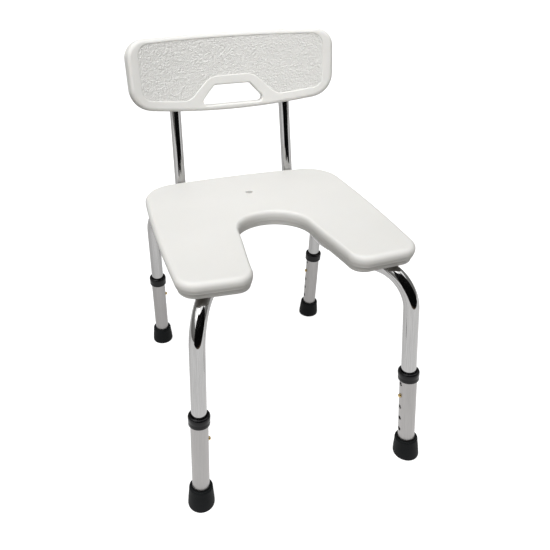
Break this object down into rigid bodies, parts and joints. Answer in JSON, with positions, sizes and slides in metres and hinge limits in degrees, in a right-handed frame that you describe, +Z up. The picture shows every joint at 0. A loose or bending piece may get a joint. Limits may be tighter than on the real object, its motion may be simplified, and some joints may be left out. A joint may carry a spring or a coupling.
{
  "type": "shower chair",
  "caption": "Shower chair with a U-fronted moulded seat, lift-off back rest with a hand hold, and splayed telescoping legs with snap buttons and rubber feet.",
  "frame": {"origin": "on the floor, under the centre of the overall bounding box", "axes": "+Z up, -Y to the open front of the seat, +Y to the back rest, +X to the right as seen from the front"},
  "size_m": [0.4338, 0.5322, 0.6856],
  "materials": {
    "seat": "warm off-white moulded plastic, fine satin surface",
    "back": "warm off-white moulded plastic with a grained field",
    "frame_tube": "bright polished tube",
    "back_tube": "bright polished tube",
    "leg_tube": "satin anodised tube",
    "collar": "gloss black plastic",
    "tip": "matt black rubber",
    "button": "brass-coloured metal",
    "spring": "bright spring steel",
    "bolt": "zinc-plated steel",
    "screw": "zinc-plated steel",
    "strap": "mill-finish aluminium",
    "socket": "mill-finish aluminium",
    "plug": "off-white plastic"
  },
  "bodies": {
    "seat_frame": {"seat_panel": "seat", "side_tube_left": "frame_tube", "side_tube_right": "frame_tube", "cross_strap": "strap", "seat_bolt_front_left": "bolt", "seat_bolt_rear_left": "bolt", "back_socket_left": "socket", "socket_screw_1_left": "screw", "socket_screw_2_left": "screw", "seat_bolt_front_right": "bolt", "seat_bolt_rear_right": "bolt", "back_socket_right": "socket", "socket_screw_1_right": "screw", "socket_screw_2_right": "screw", "leg_spring_front_left": "spring", "leg_spring_front_right": "spring", "leg_spring_rear_left": "spring", "leg_spring_rear_right": "spring"},
    "back_rest": {"back_panel": "back", "back_tube_left": "back_tube", "back_plug_left": "plug", "back_screw_lower_left": "screw", "back_screw_upper_left": "screw", "back_spring_left": "spring", "back_tube_right": "back_tube", "back_plug_right": "plug", "back_screw_lower_right": "screw", "back_screw_upper_right": "screw", "back_spring_right": "spring"},
    "leg_front_left_body": {"leg_front_left": "leg_tube", "collar_front_left": "collar", "tip_front_left": "tip"},
    "leg_button_front_left_body": {"leg_button_front_left": "button"},
    "leg_front_right_body": {"leg_front_right": "leg_tube", "collar_front_right": "collar", "tip_front_right": "tip"},
    "leg_button_front_right_body": {"leg_button_front_right": "button"},
    "leg_rear_left_body": {"leg_rear_left": "leg_tube", "collar_rear_left": "collar", "tip_rear_left": "tip"},
    "leg_button_rear_left_body": {"leg_button_rear_left": "button"},
    "leg_rear_right_body": {"leg_rear_right": "leg_tube", "collar_rear_right": "collar", "tip_rear_right": "tip"},
    "leg_button_rear_right_body": {"leg_button_rear_right": "button"},
    "back_button_left_body": {"back_button_left": "button"},
    "back_button_right_body": {"back_button_right": "button"}
  },
  "joints": [
    {"name": "leg_front_left_slide", "type": "slide", "parent": "seat_frame", "child": "leg_front_left_body", "axis": [-0.0537, -0.0927, -0.9942], "range_m": [-0.075, 0.025], "deforming": ["leg_spring_front_left", "leg_button_front_left"]},
    {"name": "leg_front_right_slide", "type": "slide", "parent": "seat_frame", "child": "leg_front_right_body", "axis": [0.0537, -0.0927, -0.9942], "range_m": [-0.075, 0.025], "deforming": ["leg_spring_front_right", "leg_button_front_right"]},
    {"name": "leg_rear_left_slide", "type": "slide", "parent": "seat_frame", "child": "leg_rear_left_body", "axis": [-0.0069, 0.0928, -0.9957], "range_m": [-0.075, 0.025], "deforming": ["leg_spring_rear_left", "leg_button_rear_left"]},
    {"name": "leg_rear_right_slide", "type": "slide", "parent": "seat_frame", "child": "leg_rear_right_body", "axis": [0.0069, 0.0928, -0.9957], "range_m": [-0.075, 0.025], "deforming": ["leg_spring_rear_right", "leg_button_rear_right"]},
    {"name": "leg_button_front_left_press", "type": "slide", "parent": "seat_frame", "child": "leg_button_front_left_body", "axis": [-0.9986, 0.005, 0.0535], "range_m": [0, 0.0057], "stiffness_N_per_m": 900, "springref_m": -0.004, "deforming": ["leg_spring_front_left"]},
    {"name": "leg_button_front_right_press", "type": "slide", "parent": "seat_frame", "child": "leg_button_front_right_body", "axis": [0.9986, 0.005, 0.0535], "range_m": [0, 0.0057], "stiffness_N_per_m": 900, "springref_m": -0.004, "deforming": ["leg_spring_front_right"]},
    {"name": "leg_button_rear_left_press", "type": "slide", "parent": "seat_frame", "child": "leg_button_rear_left_body", "axis": [-1, -0.0006, 0.0068], "range_m": [0, 0.0057], "stiffness_N_per_m": 900, "springref_m": -0.004, "deforming": ["leg_spring_rear_left"]},
    {"name": "leg_button_rear_right_press", "type": "slide", "parent": "seat_frame", "child": "leg_button_rear_right_body", "axis": [1, -0.0006, 0.0068], "range_m": [0, 0.0057], "stiffness_N_per_m": 900, "springref_m": -0.004, "deforming": ["leg_spring_rear_right"]},
    {"name": "back_rest_slide", "type": "slide", "parent": "seat_frame", "child": "back_rest", "axis": [0, 1, 0], "range_m": [0, 0.065], "deforming": ["back_spring_left", "back_spring_right", "back_button_left", "back_button_right"]},
    {"name": "back_button_left_press", "type": "slide", "parent": "back_rest", "child": "back_button_left_body", "axis": [0, 0, 1], "range_m": [0, 0.0056], "stiffness_N_per_m": 900, "springref_m": -0.004, "deforming": ["back_spring_left"]},
    {"name": "back_button_right_press", "type": "slide", "parent": "back_rest", "child": "back_button_right_body", "axis": [0, 0, 1], "range_m": [0, 0.0056], "stiffness_N_per_m": 900, "springref_m": -0.004, "deforming": ["back_spring_right"]}
  ]
}
